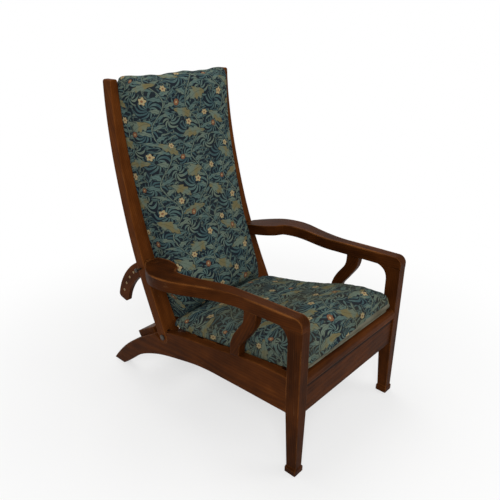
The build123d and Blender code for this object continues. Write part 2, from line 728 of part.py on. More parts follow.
def back_cushion():
    line_length = back_centre_line().length
    half_width = outer_x - back_post_foot_width + back_post_inner_taper - back_cushion_side_gap
    sections = []
    for along, wide, high, crown, lift in back_cushion_shares:
        share = back_cushion_start_share + along * (back_cushion_end_share - back_cushion_start_share)
        y, z, ahead_y, ahead_z = along_back(min(share, 1))
        beyond = max(share - 1, 0) * line_length
        front = back_plane_ahead + back_cushion_rear_gap + lift * back_cushion_depth
        place = (y + beyond * ahead_y - front * ahead_z, z + beyond * ahead_z + front * ahead_y)
        sections.append(cushion_section(place, (ahead_y, ahead_z), wide * half_width,
                                        high * back_cushion_depth, crown * back_cushion_crown))
    return loft(sections[::-1])


# Pieces of the whole chair
parts = {}
both_sides("side_rail", side_rail())
both_sides("front_post", front_post())
both_sides("arm", arm())
both_sides("arm_strut", strut())
both_sides("horn", horn())
both_sides("horn_bushes", horn_bushes())
parts["front_rail"] = front_rail()
parts["seat_lip"] = seat_lip()
parts["rear_cross_rail"] = rear_cross_rail()
both_sides("corner_block", corner_block())
both_sides("seat_bearer", seat_bearer())
parts["seat_rear_rail"] = seat_rear_rail()
for number, slat in enumerate(seat_slats(), start=1):
    parts[f"seat_slat_{number}"] = slat
both_sides("pivot_bolt", pivot_bolt())
both_sides("pivot_nut", pivot_nut())
parts["seat_cushion"] = seat_cushion()

both_sides("back_post", back_post())
for name, sizes in back_boards().items():
    parts[name] = back_board(*sizes)
both_sides("adjusting_pin", adjusting_pin())
parts["back_cushion"] = back_cushion()

os.makedirs("parts", exist_ok=True)
for name, shape in parts.items():
    export_step(Pos(0, -overall_depth / 2, 0) * shape, f"parts/{name}.step")
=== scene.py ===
# %% [markdown]
# The reclining armchair comes in as a fixed frame of wooden, metal and cushion nodes, in metres.
# Everything below gives those nodes a finish, or stands in for the two cushions.

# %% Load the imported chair
import math
from collections import namedtuple

import bmesh
import bpy
from mathutils import Matrix, Vector


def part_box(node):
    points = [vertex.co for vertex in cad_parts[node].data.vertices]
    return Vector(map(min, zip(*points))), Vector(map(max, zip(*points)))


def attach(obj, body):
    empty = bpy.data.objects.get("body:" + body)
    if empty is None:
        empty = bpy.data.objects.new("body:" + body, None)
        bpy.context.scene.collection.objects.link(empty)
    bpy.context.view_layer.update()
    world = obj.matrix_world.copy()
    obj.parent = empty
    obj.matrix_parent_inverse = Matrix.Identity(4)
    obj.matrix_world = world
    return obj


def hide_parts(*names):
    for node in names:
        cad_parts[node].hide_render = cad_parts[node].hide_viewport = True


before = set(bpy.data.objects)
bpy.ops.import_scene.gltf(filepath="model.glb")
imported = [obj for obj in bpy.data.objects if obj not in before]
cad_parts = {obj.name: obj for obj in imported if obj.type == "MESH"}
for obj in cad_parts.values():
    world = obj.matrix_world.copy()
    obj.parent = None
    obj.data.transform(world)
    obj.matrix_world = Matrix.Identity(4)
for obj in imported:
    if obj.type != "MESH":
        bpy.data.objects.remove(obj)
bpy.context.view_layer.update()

# %% [markdown]
# The camera stands before the chair's left corner, a little higher than the back, and looks down.
# Its matrix is its place times three turns: heading, pitch and a trace of roll.

# %% Camera
camera_place = Vector((-1.3892, -1.2793, 1.4018))
camera_heading = math.radians(-47.713)
camera_pitch = math.radians(24.105)
camera_roll = math.radians(0.23)
camera_lens_mm = 39.66

bpy.ops.object.camera_add()
camera = bpy.context.object
camera.matrix_world = (
    Matrix.Translation(camera_place)
    @ Matrix.Rotation(camera_heading, 4, "Z")
    @ Matrix.Rotation(math.pi / 2 - camera_pitch, 4, "X")
    @ Matrix.Rotation(camera_roll, 4, "Z")
)
camera.data.sensor_width = 36.0
camera.data.lens = camera_lens_mm
bpy.context.scene.camera = camera
print("camera at", tuple(camera_place))

# %% [markdown]
# A shader is easier to read as a sum than as a net of nodes. Wire wraps one socket, so that
# a + b writes a Math node, and Bench adds every other node and keeps the material.

# %% Wires and benches
class Wire:
    """One output socket, which goes into sums like a number."""

    def __init__(self, bench, socket):
        self.bench = bench
        self.socket = socket

    def out(self, name):
        return Wire(self.bench, self.socket.node.outputs[name])

    def __add__(self, other):
        return self.bench.maths("ADD", self, other)

    def __radd__(self, other):
        return self.bench.maths("ADD", other, self)

    def __sub__(self, other):
        return self.bench.maths("SUBTRACT", self, other)

    def __rsub__(self, other):
        return self.bench.maths("SUBTRACT", other, self)

    def __mul__(self, other):
        return self.bench.maths("MULTIPLY", self, other)

    def __rmul__(self, other):
        return self.bench.maths("MULTIPLY", other, self)

    def __truediv__(self, other):
        return self.bench.maths("DIVIDE", self, other)

    def __rtruediv__(self, other):
        return self.bench.maths("DIVIDE", other, self)

    def __mod__(self, other):
        return self.bench.maths("FLOORED_MODULO", self, other)

    def __abs__(self):
        return self.bench.maths("ABSOLUTE", self)


class Bench:
    """A material while it is being built."""

    def __init__(self, name):
        self.material = bpy.data.materials.new(name)
        self.material.use_nodes = True
        self.tree = self.material.node_tree
        self.tree.nodes.clear()

    def node(self, kind, settings=None, inputs=None, output=0):
        made = self.tree.nodes.new(kind)
        for name, value in (settings or {}).items():
            if name == "stops":
                self.set_stops(made.color_ramp, value)
            else:
                setattr(made, name, value)
        for name, value in (inputs or {}).items():
            if isinstance(value, Wire):
                self.tree.links.new(value.socket, made.inputs[name])
            else:
                made.inputs[name].default_value = value
        return Wire(self, made.outputs[output]) if made.outputs else made

    @staticmethod
    def set_stops(ramp, stops):
        while len(ramp.elements) < len(stops):
            ramp.elements.new(1.0)
        for element, (place, colour) in zip(ramp.elements, stops):
            element.position = place
            element.color = colour

    def maths(self, operation, *values):
        return self.node("ShaderNodeMath", {"operation": operation}, dict(enumerate(values)))

    def smooth(self, value, low, high):
        """0 below low and 1 above high, with an eased rise between."""
        return self.node("ShaderNodeMapRange", {"interpolation_type": "SMOOTHSTEP"},
                         {"Value": value, "From Min": low, "From Max": high})

    def mix(self, factor, first, second):
        return self.node("ShaderNodeMix", {"data_type": "RGBA"}, {0: factor, 6: first, 7: second}, 2)

    def noise(self, vector, scale, detail=2.0, roughness=0.5, distortion=0.0):
        return self.node("ShaderNodeTexNoise", None, {
            "Vector": vector, "Scale": scale, "Detail": detail, "Roughness": roughness,
            "Distortion": distortion,
        })

    def vector_sum(self, operation, *values, output=0):
        settings = {"operation": operation}
        return self.node("ShaderNodeVectorMath", settings, dict(enumerate(values)), output)

    def combine(self, x, y, z):
        return self.node("ShaderNodeCombineXYZ", None, {"X": x, "Y": y, "Z": z})

    def finish(self, shader):
        self.node("ShaderNodeOutputMaterial", None, {"Surface": shader})
        return self.material


def paint(red, green, blue):
    """A colour as a paint chart gives it, from 0 to 255, as the shader wants it."""
    def linear(value):
        share = value / 255  # the curve of a screen's colours, undone
        return share / 12.92 if share <= 0.04045 else ((share + 0.055) / 1.055) ** 2.4

    return (linear(red), linear(green), linear(blue), 1.0)


print("mid brown is", [round(v, 3) for v in paint(84, 50, 30)])

# %% [markdown]
# The floor is a wide pale sheet that turns to plain white away from the chair. The white is an
# emission that only the eye and glossy or clear surfaces see, so the sheet still takes the
# chair's shadow and throws no extra light on the wood.

# %% Floor
near_white = 0.62
fade_start = 0.6
fade_end = 1.6
floor_radius = 30.0


def pale_floor():
    """A pale matt sheet, which the eye and every gloss see fade to white away from the chair."""
    bench = Bench("pale_floor")
    place = bench.node("ShaderNodeTexCoord", output="Object")
    cloudy = bench.noise(place, 3.0)
    colour = bench.mix(cloudy, paint(238, 238, 237), paint(242, 242, 241))
    sheet = bench.node("ShaderNodeBsdfPrincipled", None, {"Base Color": colour, "Roughness": 0.9})
    white = bench.node("ShaderNodeEmission", None, {"Color": (1.0, 1.0, 1.0, 1.0), "Strength": 1.0})
    seen = bench.node("ShaderNodeLightPath", output="Is Camera Ray")
    seen = bench.maths("MAXIMUM", bench.maths("MAXIMUM", seen, seen.out("Is Glossy Ray")),
                       seen.out("Is Transmission Ray"))
    away = bench.vector_sum("LENGTH", place, output="Value")
    fade = near_white + bench.smooth(away, fade_start, fade_end) * (1.0 - near_white)
    return bench.finish(bench.node("ShaderNodeMixShader", None, {0: seen * fade, 1: sheet, 2: white}))


bpy.ops.mesh.primitive_circle_add(vertices=64, radius=floor_radius, fill_type="NGON")
floor = bpy.context.object
floor.name = "studio_floor"
floor.data.materials.append(pale_floor())
print("floor of radius", floor_radius)

# %% [markdown]
# Big soft lamps stand left, right and overhead, as round a product table, so that the light on
# the wax is long and calm. The air itself glows a little, which fills the shadows under the arms,
# and it is white to the eye.

# %% Lamps and world
air_glow = 0.44


def soft_lamp(name, place, size, power, target=(0.0, 0.0, 0.5)):
    bpy.ops.object.light_add(type="AREA", location=place)
    lamp = bpy.context.object
    lamp.name = name
    lamp.data.shape = "DISK"
    lamp.data.size = size
    lamp.data.energy = power
    lamp.rotation_mode = "QUATERNION"
    lamp.rotation_quaternion = (Vector(target) - Vector(place)).to_track_quat("-Z", "Y")
    return lamp


soft_lamp("key_lamp", (-2.4, -2.2, 2.7), size=1.4, power=62.0)
soft_lamp("fill_lamp", (1.9, -2.9, 1.9), size=2.0, power=26.0)
soft_lamp("top_lamp", (0.4, 0.8, 3.2), size=2.2, power=34.0)

world = bpy.data.worlds.new("studio_air")
world.use_nodes = True
air = world.node_tree.nodes["Background"]
air.inputs["Color"].default_value = (1.0, 1.0, 1.0, 1.0)
rays = world.node_tree.nodes.new("ShaderNodeLightPath")
shown = rays.outputs["Is Camera Ray"]
for other in ("Is Glossy Ray", "Is Transmission Ray"):
    either = world.node_tree.nodes.new("ShaderNodeMath")
    either.operation = "MAXIMUM"
    world.node_tree.links.new(shown, either.inputs[0])
    world.node_tree.links.new(rays.outputs[other], either.inputs[1])
    shown = either.outputs[0]
level = world.node_tree.nodes.new("ShaderNodeMapRange")
level.inputs["To Min"].default_value = air_glow
world.node_tree.links.new(shown, level.inputs["Value"])
world.node_tree.links.new(level.outputs["Result"], air.inputs["Strength"])
bpy.context.scene.world = world
bpy.context.scene.view_settings.view_transform = "Standard"

# %% [markdown]
# Waxed hardwood has four scales of detail: the growth rings that a saw cuts into arches, broad
# lighter and darker bands, short dark pores along the grain, and edges that hands have polished
# to orange; the upward-facing edges also get that orange as a painted highlight. The rings are modelled
# as in a tree, as shells about a heart line beside the piece.
# A Bevel node rounds the normal near an edge only, so its distance from the true normal is a mask
# of the edges. The wood mirrors little, and that warmly, as old dark wax does.

# %% Wood
wood_dark = paint(45, 21, 7)
wood_mid = paint(77, 39, 13)
wood_light = paint(115, 64, 25)
# The orange of worn edges, which also paints the highlight on upward-facing edges.
wood_worn_and_lit = paint(170, 106, 52)
scratch_pale = paint(128, 96, 66)
knock_pale = paint(150, 122, 92)
# Painted shade: the near-black of the shadow in the crease under the seat lip.
crease_shade = paint(16, 9, 5)
rings_per_metre = 170.0
worn_edge = 0.0042
# Radius of the broad edge mask, which is part wear and part painted highlight.
handled_and_lit_edge = 0.013
wear_fade = 0.012
heart_line = (0.09, 0.13)


def waxed_wood(name, along, paler_and_lit, handling_and_highlight, seed, rub_top, crease):
    """Wood with its grain along one way, rubbed below rub_top, with a painted highlight on upper edges
    and painted dark at the crease's height as shade.
    """
    bench = Bench(name)
    along = Vector(along).normalized()
    side = along.cross(Vector((0.31, 0.17, 0.93))).normalized()
    third = along.cross(side)
    place = bench.node("ShaderNodeTexCoord", output="Object")
    run = bench.vector_sum("DOT_PRODUCT", place, tuple(along), output="Value") + seed
    wide = bench.vector_sum("DOT_PRODUCT", place, tuple(side), output="Value")
    deep = bench.vector_sum("DOT_PRODUCT", place, tuple(third), output="Value")

    def grain(stretch, fineness, detail):
        """Noise drawn out along the grain."""
        return bench.noise(bench.combine(run * stretch, wide * fineness, deep * fineness), 1.0, detail)

    drift = grain(1.2, 5.0, 2.0)
    from_heart = bench.vector_sum(
        "LENGTH", bench.combine(wide + heart_line[0], deep + heart_line[1], 0.0), output="Value")
    shell = from_heart + (drift - 0.5) * 0.045
    ring = bench.maths("FRACT", shell * rings_per_metre)
    late = bench.smooth(ring, 0.25, 0.9) - bench.smooth(ring, 0.9, 1.0)

    bands = grain(3.0, 34.0, 3.0)
    mottle = grain(14.0, 26.0, 3.0)
    fibres = grain(22.0, 900.0, 2.0)
    pores = bench.smooth(grain(55.0, 1500.0, 1.0), 0.63, 0.72)
    clouds = bench.noise(place, 5.0, 3.0)
    tone = bands * 0.28 + clouds * 0.4 + mottle * 0.3 + late * 0.07 - fibres * 0.1 + (paler_and_lit - 0.03)
    colour = bench.node("ShaderNodeValToRGB", {
        "stops": [(0.3, wood_dark), (0.55, wood_mid), (0.85, wood_light)]}, {"Fac": tone})
    colour = bench.mix(pores * 0.55, colour, wood_dark)

    def patches(scale, low, high, detail=3.0):
        return bench.smooth(bench.noise(place, scale, detail), low, high)

    rounded = bench.node("ShaderNodeBevel", {"samples": 4}, {"Radius": worn_edge})
    true_normal = bench.node("ShaderNodeNewGeometry", output="True Normal")
    flat = bench.vector_sum("DOT_PRODUCT", rounded, true_normal, output="Value")
    rubbed = bench.smooth(1.0 - flat, 0.015, 0.17) * patches(14.0, 0.3, 0.6)
    upward = bench.vector_sum("DOT_PRODUCT", rounded, (0.0, 0.0, 1.0), output="Value")
    height = bench.vector_sum("DOT_PRODUCT", place, (0.0, 0.0, 1.0), output="Value")
    below_arm = 1.0 - bench.smooth(height, rub_top - wear_fade, rub_top)
    rubbed = rubbed * bench.smooth(upward, -0.45, -0.15) * below_arm
    colour = bench.mix(rubbed * 0.5, colour, wood_worn_and_lit)

    # Wear with painted highlight: broad upward-facing edges are mixed towards the worn orange.
    broad = bench.node("ShaderNodeBevel", {"samples": 4}, {"Radius": handled_and_lit_edge})
    bent = bench.vector_sum("DOT_PRODUCT", broad, true_normal, output="Value")
    handled_and_lit = bench.smooth(1.0 - bent, 0.004, 0.12) * patches(8.0, 0.35, 0.65)
    lifted = bench.vector_sum("DOT_PRODUCT", broad, (0.0, 0.0, 1.0), output="Value")
    colour = bench.mix(handled_and_lit * bench.smooth(lifted, 0.1, 0.4) * handling_and_highlight, colour, wood_worn_and_lit)

    scratch_space = bench.combine(run * 9.0, wide * 260.0, deep * 260.0)
    scratches = bench.smooth(bench.noise(scratch_space, 1.0, 1.0, 0.5, 1.2), 0.71, 0.74)
    colour = bench.mix(scratches * patches(7.0, 0.52, 0.62, 2.0) * 0.35, colour, scratch_pale)
    knocks = patches(90.0, 0.74, 0.79, 2.0) * patches(9.0, 0.5, 0.6, 1.0)
    colour = bench.mix(knocks * 0.5, colour, knock_pale)
    # Painted shade: a dark line at the crease's height, where the seat lip overhangs the front rail.
    in_shaded_crease = 1.0 - bench.smooth(abs(height - crease), 0.003, 0.009)
    colour = bench.mix(in_shaded_crease * 0.8, colour, crease_shade)

    relief = late * 0.25 + fibres * 0.3 - pores - knocks * 1.5
    bump = bench.node("ShaderNodeBump", None, {
        "Strength": 0.22, "Distance": 0.0006, "Height": relief, "Normal": rounded})
    roughness = 0.34 + clouds * 0.16 + pores * 0.15 - rubbed * 0.08
    return bench.finish(bench.node("ShaderNodeBsdfPrincipled", None, {
        "Base Color": colour, "Roughness": roughness, "Normal": bump, "Specular IOR Level": 0.02,
        "Specular Tint": (1.0, 0.52, 0.24, 1.0)}))


print("wood runs from", [round(v, 3) for v in wood_dark], "to", [round(v, 3) for v in wood_light])

# %% [markdown]
# A board's grain runs along its length, so each run of the frame has a material of its own. A
# node's name begins with what it is, and that picks its run. Arms are handled most and get the most
# painted highlight on their upper edges, the front posts are rubbed only below the arms, and painted
# shade darkens the crease where the seat lip stands over the front rail. The back posts are painted
# paler, as a highlight where their leaning fronts catch the light. A limit of nine metres up is no
# limit, and a crease below the floor is no crease.

# %% Wood on the frame
def set_finish(piece, material):
    """Gives every material slot of the piece the same finish."""
    if not piece.material_slots:
        piece.data.materials.append(material)
    for spot in piece.material_slots:
        spot.material = material


usual_handling_and_highlight = 0.12
crease_drop = 0.006
seed_step = 0.37
no_rub_limit = 9.0
no_crease = -1.0
wood_runs = {  # the grain's way, how much paler (on the back posts a painted highlight), how much handled (wear and painted highlight), and the nodes
    "front": ((1, 0, 0), -0.03, 0.3, ["front_rail", "seat_lip"]),
    "across": ((1, 0, 0), 0.0, usual_handling_and_highlight, [
        "rear_cross_rail", "seat_rear_rail", "seat_slat", "back_bottom_rail", "back_slat",
        "back_top_rail"]),
    "deep": ((0, 1, -0.06), 0.0, usual_handling_and_highlight, ["side_rail", "seat_bearer", "corner_block"]),
    "arm": ((0, 1, -0.12), -0.05, 0.5, ["arm_left", "arm_right"]),
    "upright": ((0, 0.01, 1), -0.05, usual_handling_and_highlight, ["front_post"]),
    # The back posts are 0.13 paler as a painted highlight: their leaning fronts catch the light from
    # above.
    "leaning": ((0, 0.35, 0.94), 0.13, usual_handling_and_highlight, ["back_post"]),
    "strut": ((0, 0.45, -0.85), -0.02, usual_handling_and_highlight, ["arm_strut"]),
    "horn": ((0, 0.7, -0.6), -0.02, usual_handling_and_highlight, ["horn_left", "horn_right"]),
}
for step, (run_name, (along, paler_and_lit, handling_and_highlight, starts)) in enumerate(wood_runs.items()):
    rub_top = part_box("arm_left")[0].z if run_name == "upright" else no_rub_limit
    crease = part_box("front_rail")[1].z - crease_drop if run_name == "front" else no_crease
    material = waxed_wood("wood_" + run_name, along, paler_and_lit, handling_and_highlight, seed_step * step, rub_top, crease)
    members = [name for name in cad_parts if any(name.startswith(start) for start in starts)]
    for name in members:
        set_finish(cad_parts[name], material)
    print(run_name, "wood on", len(members), "nodes")

# %% [markdown]
# The bolts and pins are old iron, almost black, with a patina of brighter patches. The bushes
# round the holes of the horns are pale brass that has gone dull, so they are only partly metallic.

# %% Iron and brass
def old_metal(name, dark, bright, roughness, metal):
    bench = Bench(name)
    place = bench.node("ShaderNodeTexCoord", output="Object")
    patina = bench.noise(place, 160.0, 4.0, 0.6)
    fine = bench.noise(place, 900.0, 2.0)
    colour = bench.mix(bench.smooth(patina, 0.38, 0.66), dark, bright)
    bump = bench.node("ShaderNodeBump", None, {
        "Strength": 0.3, "Distance": 0.0003, "Height": fine + patina})
    return bench.finish(bench.node("ShaderNodeBsdfPrincipled", None, {
        "Base Color": colour, "Metallic": patina * 0.6 + metal, "Roughness": roughness + patina * 0.25,
        "Normal": bump}))


iron = old_metal("old_iron", paint(30, 26, 23), paint(74, 66, 58), roughness=0.3, metal=0.5)
brass = old_metal("old_brass", paint(150, 130, 92), paint(210, 192, 150), roughness=0.35, metal=0.1)
for start, metal in (("horn_bushes", brass), ("pivot_", iron), ("adjusting_pin", iron)):
    members = [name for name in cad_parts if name.startswith(start)]
    for name in members:
        set_finish(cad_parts[name], metal)
    print(metal.name, "on", len(members), "nodes")

# %% [markdown]
# The covers are a dense woven foliage cloth: a dark blue ground, winding stems with grey-green
# leaves in four sizes, whorls of curling blades, a few khaki leaves, and small cream and tan
# flowers. The whole is a half-drop repeat: each column of the pattern sits half a period lower
# than the one beside it. A picture of it would need an image, so it is drawn by sums instead.

# %% Stems and leaves
ground = paint(14, 25, 38)
ground_worn = paint(22, 36, 46)
leaf_blue = paint(58, 84, 88)
leaf_teal = paint(84, 108, 104)
leaf_grey = paint(104, 118, 104)
leaf_khaki = paint(116, 108, 74)
cream = paint(164, 148, 110)
tan = paint(124, 84, 60)

Stem = namedtuple("Stem", "slope spacing period sway slide")
Leaf = namedtuple("Leaf", "pitch length width splay curl lobes")


def winding(bench, u, v, slope, spacing, period, sway, slide):
    """Distance across the nearest winding stem, and the distance along it."""
    if slope:
        level, rise = math.cos(math.radians(slope)), math.sin(math.radians(slope))
        u, v = u * level - v * rise, u * rise + v * level
    column = bench.maths("FLOOR", (u + slide) / spacing + 0.5)
    along = v + column * (period / 2) + slide * 0.7
    bend = bench.maths("SINE", along * (2 * math.pi / period)) * sway
    return (u + slide) - column * spacing - bend, along


def leaves(bench, across, along, pitch, length, width, splay, curl, lobes):
    """Masks of a leaf at each pitch along both sides of a stem: the leaf, its halo and its veins."""
    side = bench.maths("SIGN", across)
    out = abs(across)
    local = (along + side * (pitch / 4)) % pitch - pitch * 0.08
    reach = local * math.cos(splay) + out * math.sin(splay)
    off = out * math.cos(splay) - local * math.sin(splay) - reach * reach * (curl / length)
    share = reach / length
    half = share * (1.0 - share) * (4 * width / 2)
    notches = bench.maths("COSINE", reach * (2 * math.pi * lobes / length) + abs(off) * 260.0)
    inside = bench.maths("MINIMUM", half * (1.0 + notches * 0.22) - abs(off), 0.003)
    leaf = bench.smooth(inside, 0.0, 0.0006)
    halo = bench.smooth(inside, -0.0016, -0.0008)
    midrib = 1.0 - bench.smooth(abs(off), 0.0003, 0.0008)
    side_veins = bench.maths("SINE", (reach + abs(off) * 1.3) * (2 * math.pi / 0.0052))
    veins = bench.maths("MAXIMUM", midrib, bench.smooth(side_veins, 0.55, 0.9) * 0.55)
    return leaf, halo, veins


print("leaf colours run from", [round(v, 3) for v in leaf_blue], "to", [round(v, 3) for v in leaf_khaki])

# %% [markdown]
# Flowers and whorls sit once in each cell of the repeat. Both are drawn from a point's distance
# and direction from the middle of its cell, as a compass would.

# %% Flowers and whorls
whorl_spacing = 0.154
whorl_period = 0.20
flower_spacing = 0.18
flower_period = 0.21
Whorl = namedtuple("Whorl", "place radius blades curl")


def in_cell(bench, u, v, spacing, period, place):
    """Distance and direction from the middle of the nearest cell of the half-drop."""
    column = bench.maths("FLOOR", (u + place[0]) / spacing + 0.5)
    x = (u + place[0]) - column * spacing
    y = (v + place[1] + column * (period / 2)) % period - period / 2
    return bench.maths("SQRT", x * x + y * y), bench.maths("ARCTAN2", y, x)


def flowers(bench, u, v, place, radius, petals, depth):
    """Masks of one flower in each cell: its petals, its halo and its eye."""
    distance, turn = in_cell(bench, u, v, flower_spacing, flower_period, place)
    edge = (1.0 - depth + bench.maths("COSINE", turn * petals) * depth) * radius
    return (bench.smooth(edge - distance, 0.0, 0.0006), bench.smooth(edge - distance, -0.0018, -0.001),
            1.0 - bench.smooth(distance, radius * 0.25, radius * 0.32))


def fans(bench, u, v, place, radius, blades, curl):
    """Masks of a whorl of curling blades in each cell: the blades, their halo and their veins."""
    distance, direction = in_cell(bench, u, v, whorl_spacing, whorl_period, place)
    turn = direction + distance * (curl / radius)
    share = distance / radius
    beat = bench.maths("COSINE", turn * blades)
    reach = 1.0 + bench.maths("COSINE", turn * 2.0 + 0.6) * 0.28
    blade = beat + 0.45 - bench.maths("POWER", share * reach, 3.0) * 1.5
    return (bench.smooth(blade, 0.0, 0.18) * bench.smooth(share, 0.12, 0.17),
            1.0 - bench.smooth(share * reach, 0.93, 1.0), bench.smooth(beat, 0.965, 0.995))


print("whorls stand", whorl_spacing, "m apart, flowers", flower_spacing, "m apart")

# %% [markdown]
# The layers are laid one over another, as a weaver's drawing is inked: each shape first darkens
# a halo round itself, which keeps it apart from what lies below. The fine sprays come first and
# the big khaki leaves last. A little noise pushes the lines about, so that nothing looks ruled.

# %% Foliage cloth
def laid_over(bench, colour, tint, shape, halo, veins):
    """The colours so far with one tinted shape, its dark halo and its veins laid over them."""
    colour = bench.mix(halo, colour, ground)
    return bench.mix(shape, colour, bench.mix(veins * 0.7, tint, ground_worn))


def spray(bench, colour, u, v, tint, stalk, stem, leaf):
    """Lays a winding stem, where its stalk has a width, and its leaves."""
    across, along = winding(bench, u, v, *stem)
    if stalk:
        edge = 1.0 - bench.smooth(abs(across), stalk + 0.0010, stalk + 0.0016)
        line = 1.0 - bench.smooth(abs(across), stalk, stalk + 0.0005)
        colour = bench.mix(line, bench.mix(edge, colour, ground), leaf_grey)
    return laid_over(bench, colour, tint, *leaves(bench, across, along, *leaf))


def whorl(bench, colour, u, v, tint, shape):
    """Lays one whorl in each cell."""
    return laid_over(bench, colour, tint, *fans(bench, u, v, *shape))


foliage_layers = [  # how it is drawn, its two tints, the stalk's half width, and its shape
    (spray, leaf_blue, leaf_teal, 0.0008,
     Stem(slope=34.0, spacing=0.052, period=0.11, sway=0.009, slide=0.011),
     Leaf(pitch=0.021, length=0.030, width=0.0072, splay=0.75, curl=0.35, lobes=1.0)),
    (spray, leaf_teal, leaf_grey, 0.0010,
     Stem(slope=-29.0, spacing=0.068, period=0.14, sway=0.012, slide=0.036),
     Leaf(pitch=0.027, length=0.040, width=0.0095, splay=0.80, curl=0.40, lobes=1.0)),
    (spray, leaf_teal, leaf_blue, 0.0012,
     Stem(slope=-8.0, spacing=0.118, period=0.21, sway=0.030, slide=0.05),
     Leaf(pitch=0.0175, length=0.042, width=0.0078, splay=0.62, curl=0.95, lobes=1.0)),
    (whorl, leaf_blue, leaf_teal, Whorl(place=(0.03, 0.06), radius=0.046, blades=11.0, curl=1.1)),
    (whorl, leaf_teal, leaf_grey, Whorl(place=(0.10, 0.01), radius=0.036, blades=8.0, curl=-1.3)),
    (whorl, leaf_teal, leaf_blue, Whorl(place=(0.055, 0.155), radius=0.040, blades=10.0, curl=1.2)),
    (spray, leaf_teal, leaf_grey, 0.0018,
     Stem(slope=0.0, spacing=whorl_spacing, period=whorl_period, sway=0.030, slide=0.0),
     Leaf(pitch=0.040, length=0.058, width=0.0150, splay=0.85, curl=0.40, lobes=3.0)),
    (spray, leaf_khaki, leaf_grey, 0.0,
     Stem(slope=12.0, spacing=0.23, period=0.29, sway=0.03, slide=0.09),
     Leaf(pitch=0.145, length=0.094, width=0.036, splay=0.95, curl=0.25, lobes=4.0)),
]
flower_layers = [  # place in the cell, radius, petals, depth of the notches, petal and eye colour
    ((0.02, 0.05), 0.0145, 5.0, 0.17, cream, tan),
    ((0.115, 0.12), 0.0125, 6.0, 0.15, cream, tan),
    ((0.07, 0.17), 0.0115, 8.0, 0.10, tan, cream),
]
line_wander = 0.03
warp_thread = 0.0013
weft_thread = 0.0011
dust = paint(96, 96, 84)
sun_faded = paint(74, 64, 36)


def foliage_cloth(name, faded):
    bench = Bench(name)
    cloth = bench.node("ShaderNodeUVMap", {"uv_map": "cloth"})
    loose = bench.noise(cloth, 9.0, 1.0).out("Color")
    drawn = bench.vector_sum("MULTIPLY_ADD", bench.vector_sum("SUBTRACT", loose, (0.5, 0.5, 0.5)),
                             (line_wander, line_wander, 0.0), cloth)
    split = bench.node("ShaderNodeSeparateXYZ", None, {"Vector": drawn})
    u, v = split.out("X"), split.out("Y")

    colour = bench.mix(bench.noise(cloth, 40.0), ground, ground_worn)
    for draw, tint, second, *shape in foliage_layers:
        lit = bench.mix(bench.smooth(bench.noise(cloth, 26.0, 1.0), 0.4, 0.6), tint, second)
        colour = draw(bench, colour, u, v, lit, *shape)
    for *shape, petal_colour, eye_colour in flower_layers:
        petal, halo, eye = flowers(bench, u, v, *shape)
        colour = bench.mix(halo, colour, ground)
        colour = bench.mix(petal, colour, bench.mix(eye, petal_colour, eye_colour))

    threads = bench.node("ShaderNodeSeparateXYZ", None, {"Vector": cloth})
    weave = bench.maths("SINE", threads.out("X") * (2 * math.pi / warp_thread))
    weave = weave * bench.maths("SINE", threads.out("Y") * (2 * math.pi / weft_thread))
    slub = bench.noise(cloth, 300.0, 3.0)
    colour = bench.mix(slub * 0.12, colour, dust)
    bleached = bench.smooth(bench.noise(cloth, 6.0, 2.0), 0.25, 0.75)
    colour = bench.mix(bleached * faded, colour, sun_faded)
    bump = bench.node("ShaderNodeBump", None, {
        "Strength": 0.35, "Distance": 0.0005, "Height": weave + slub * 2.0})
    return bench.finish(bench.node("ShaderNodeBsdfPrincipled", None, {
        "Base Color": colour, "Roughness": 0.86 + slub * 0.1, "Normal": bump,
        "Specular IOR Level": 0.03}))


back_cloth = foliage_cloth("foliage_cloth", faded=0.08)
seat_cloth = foliage_cloth("faded_foliage_cloth", faded=0.42)
print("cloth has", len(back_cloth.node_tree.nodes), "nodes")

# %% [markdown]
# The undersides are plain grey linen, and a cord of the same linen is sewn round their edge. The
# linen turns up a little round the front of the seat pad, where it shows as a pale line.

# %% Lining linen
def plain_linen(name):
    bench = Bench(name)
    place = bench.node("ShaderNodeTexCoord", output="Object")
    slub = bench.noise(place, 320.0, 3.0)
    soiled = bench.noise(place, 22.0, 3.0)
    colour = bench.mix(bench.smooth(soiled, 0.35, 0.7), paint(100, 98, 84), paint(78, 74, 60))
    colour = bench.mix(slub * 0.3, colour, paint(126, 122, 104))
    bump = bench.node("ShaderNodeBump", None, {"Strength": 0.4, "Distance": 0.0004, "Height": slub})
    return bench.finish(bench.node("ShaderNodeBsdfPrincipled", None, {
        "Base Color": colour, "Roughness": 0.9, "Normal": bump, "Specular IOR Level": 0.03}))


lining_linen = plain_linen("lining_linen")
print("lining is", lining_linen.name)

# %% [markdown]
# Each cushion starts as a copy of its plain solid. A solid's triangles are long and thin, which
# no cloth simulation likes, so a voxel remesh gives the copy an even skin of small quads first.

# %% Even skins
voxel = 0.006
skin_gap = 0.00002
eased_below = 0.8


def extent(piece):
    """The piece's lowest and highest corner, rounded for printing."""
    spots = [v.co for v in piece.data.vertices]
    return [[round(pick(spot[axis] for spot in spots), 3) for axis in range(3)] for pick in (min, max)]


def copy_of_node(node, name):
    """A copy of a cushion's solid, with its loose triangles joined into one skin."""
    piece = bpy.data.objects.new(name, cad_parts[node].data.copy())
    bpy.context.scene.collection.objects.link(piece)
    skin = bmesh.new()
    skin.from_mesh(piece.data)
    bmesh.ops.remove_doubles(skin, verts=skin.verts, dist=skin_gap)
    bmesh.ops.recalc_face_normals(skin, faces=skin.faces)
    skin.to_mesh(piece.data)
    skin.free()
    return piece


def apply_modifier(piece, modifier):
    bpy.ops.object.select_all(action="DESELECT")
    bpy.context.view_layer.objects.active = piece
    piece.select_set(True)
    bpy.ops.object.modifier_apply(modifier=modifier.name)


